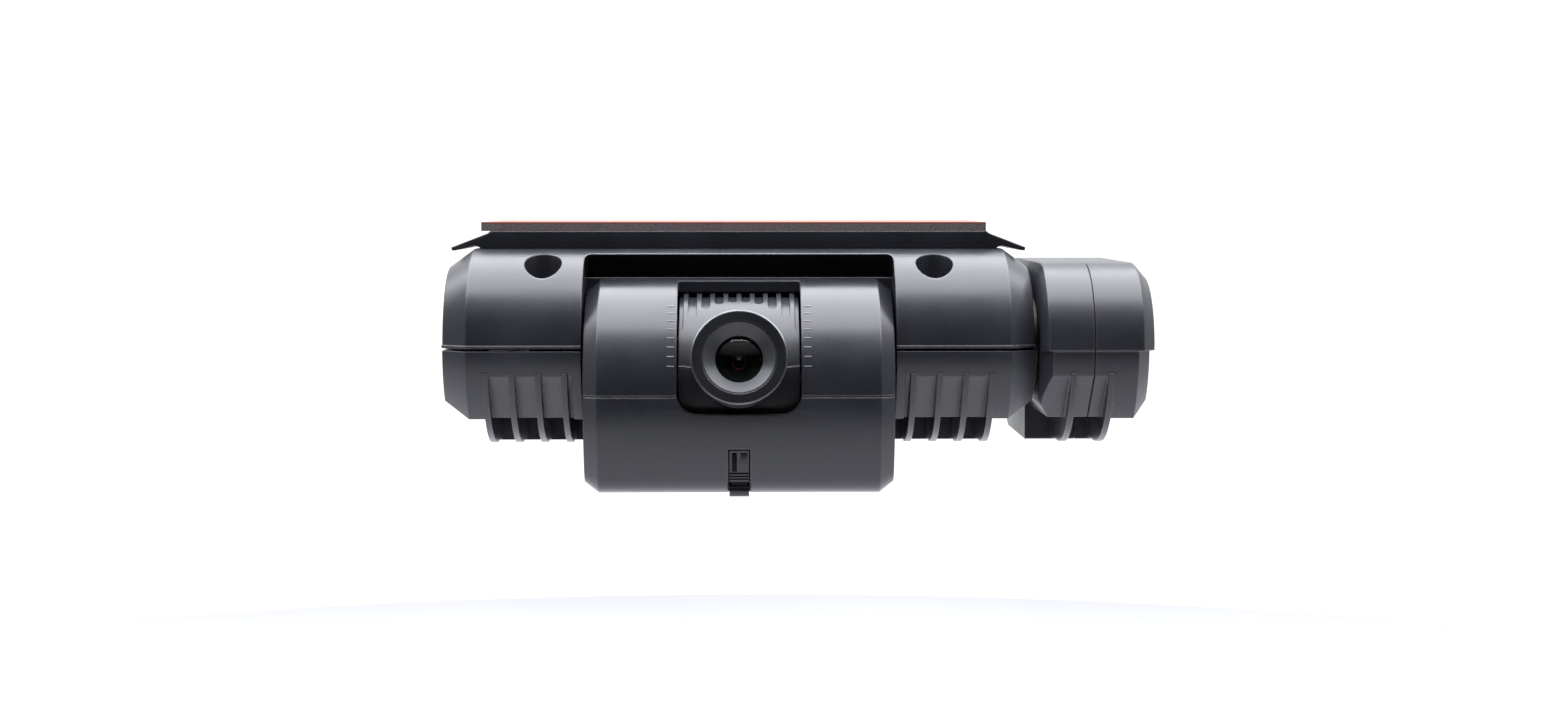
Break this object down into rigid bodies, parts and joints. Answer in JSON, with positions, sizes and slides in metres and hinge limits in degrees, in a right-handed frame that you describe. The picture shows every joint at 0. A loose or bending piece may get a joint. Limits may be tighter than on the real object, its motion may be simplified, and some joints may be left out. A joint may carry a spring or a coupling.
{
  "type": "dash camera",
  "caption": "Wide finned windscreen camera hung from an adhesive bracket, with a tilting lens barrel in a front pod and a swivelling cabin camera head at one end.",
  "frame": {"origin": "centre of the adhesive face that is stuck to the windscreen", "axes": "+Z out of the adhesive towards the glass, -Y towards the road ahead, +X along the housing towards the cabin head"},
  "size_m": [0.1569, 0.0854, 0.0598],
  "materials": {
    "liner": "thin orange-red release film",
    "foam": "dark closed-cell foam, cut edge",
    "shell_plastic": "fine-grained moulded, satin",
    "fin_plastic": "fine-grained moulded, satin",
    "screw_steel": "zinc plated",
    "circuit_board": "solder mask",
    "chip": "moulded epoxy",
    "thermal_gel": "soft gap filler",
    "spreader_aluminium": "mill finish",
    "shield_can": "tinned sheet",
    "ceramic": "unglazed ceramic",
    "capacitor_sleeve": "shrink sleeve",
    "speaker_black": "pressed cone",
    "connector_black": "glass-filled nylon",
    "call_red": "moulded, satin",
    "button_rubber": "moulded silicone",
    "light_pipe": "frosted acrylic",
    "pod_plastic": "fine-grained moulded, satin",
    "washer_brass": "stamped",
    "scale_paint": "pad-printed light grey",
    "slider_plastic": "moulded acetal",
    "barrel_plastic": "fine-grained moulded, satin",
    "barrel_black": "fine-grained moulded, matt",
    "ring_black": "satin black, bright turned edge",
    "hood_black": "matt black",
    "lens_glass": "coated",
    "optic_black": "matt black",
    "optic_glass": "coated",
    "sensor_glass": "sensor cover glass",
    "head_plastic": "fine-grained moulded, satin",
    "cabin_glass": "coated lens front",
    "infrared_black": "infrared-passing acrylic",
    "led_clear": "clear epoxy"
  },
  "bodies": {
    "housing": {"release_liner": "liner", "adhesive_pad": "foam", "bracket_plate": "shell_plastic", "bracket_screws": "screw_steel", "upper_shell": "shell_plastic", "lower_shell": "fin_plastic", "shell_screws": "screw_steel", "main_board": "circuit_board", "processor": "chip", "thermal_pad": "thermal_gel", "heat_spreader": "spreader_aluminium", "modem_module": "shield_can", "satellite_antenna": "ceramic", "supercapacitors": "capacitor_sleeve", "board_screws": "screw_steel", "speaker": "speaker_black", "microphones": "shield_can", "card_socket": "shield_can", "sim_socket": "shield_can", "power_inlet": "connector_black", "door_pin": "screw_steel", "button_board": "circuit_board", "button_switches": "shield_can", "light_pipes": "light_pipe", "pod_upper": "pod_plastic", "pod_lower": "pod_plastic", "pod_screws": "screw_steel", "bearing_blocks": "connector_black", "tilt_washers": "washer_brass", "angle_scale": "scale_paint", "swivel_washer": "washer_brass"},
    "lens_barrel": {"barrel_upper": "barrel_plastic", "barrel_lower": "barrel_black", "barrel_axles": "screw_steel", "index_marks": "scale_paint", "lens_ring": "ring_black", "lens_hood": "hood_black", "front_glass": "lens_glass", "lens_body": "optic_black", "lens_elements": "optic_glass", "lens_holder": "connector_black", "camera_board": "circuit_board", "image_sensor": "sensor_glass"},
    "cabin_head": {"swivel_shaft": "screw_steel", "shaft_clip": "screw_steel", "head_inner_shell": "head_plastic", "head_outer_shell": "head_plastic", "head_screws": "screw_steel", "head_board": "circuit_board", "cabin_lens": "cabin_glass", "cabin_lens_holder": "connector_black", "infrared_window": "infrared_black", "infrared_leds": "led_clear"},
    "card_door": {"card_door": "shell_plastic"},
    "lock_slider": {"lock_slider": "slider_plastic"},
    "call_button": {"call_button": "call_red"},
    "record_button": {"record_button": "button_rubber"},
    "mute_button": {"mute_button": "button_rubber"}
  },
  "joints": [
    {"name": "lens_tilt", "type": "hinge", "parent": "housing", "child": "lens_barrel", "pos_m": [0, -0.026, -0.0375], "axis": [-1, 0, 0], "range_deg": [0, 35]},
    {"name": "head_swivel", "type": "hinge", "parent": "housing", "child": "cabin_head", "pos_m": [0.065, -0.026, -0.0275], "axis": [-1, 0, 0], "range_deg": [-15, 15]},
    {"name": "card_door_hinge", "type": "hinge", "parent": "housing", "child": "card_door", "pos_m": [-0.06385, 0.0196, -0.0333], "axis": [0, 0, -1], "range_deg": [0, 90]},
    {"name": "lock_slide", "type": "slide", "parent": "housing", "child": "lock_slider", "axis": [0, 0, -1], "range_m": [0, 0.0015]},
    {"name": "call_press", "type": "slide", "parent": "housing", "child": "call_button", "axis": [0, -1, 0], "range_m": [0, 0.0008], "stiffness_N_per_m": 400, "springref_m": -0.0006},
    {"name": "record_press", "type": "slide", "parent": "housing", "child": "record_button", "axis": [0, -1, 0], "range_m": [0, 0.0008], "stiffness_N_per_m": 400, "springref_m": -0.0006},
    {"name": "mute_press", "type": "slide", "parent": "housing", "child": "mute_button", "axis": [0, -1, 0], "range_m": [0, 0.0008], "stiffness_N_per_m": 400, "springref_m": -0.0006}
  ]
}
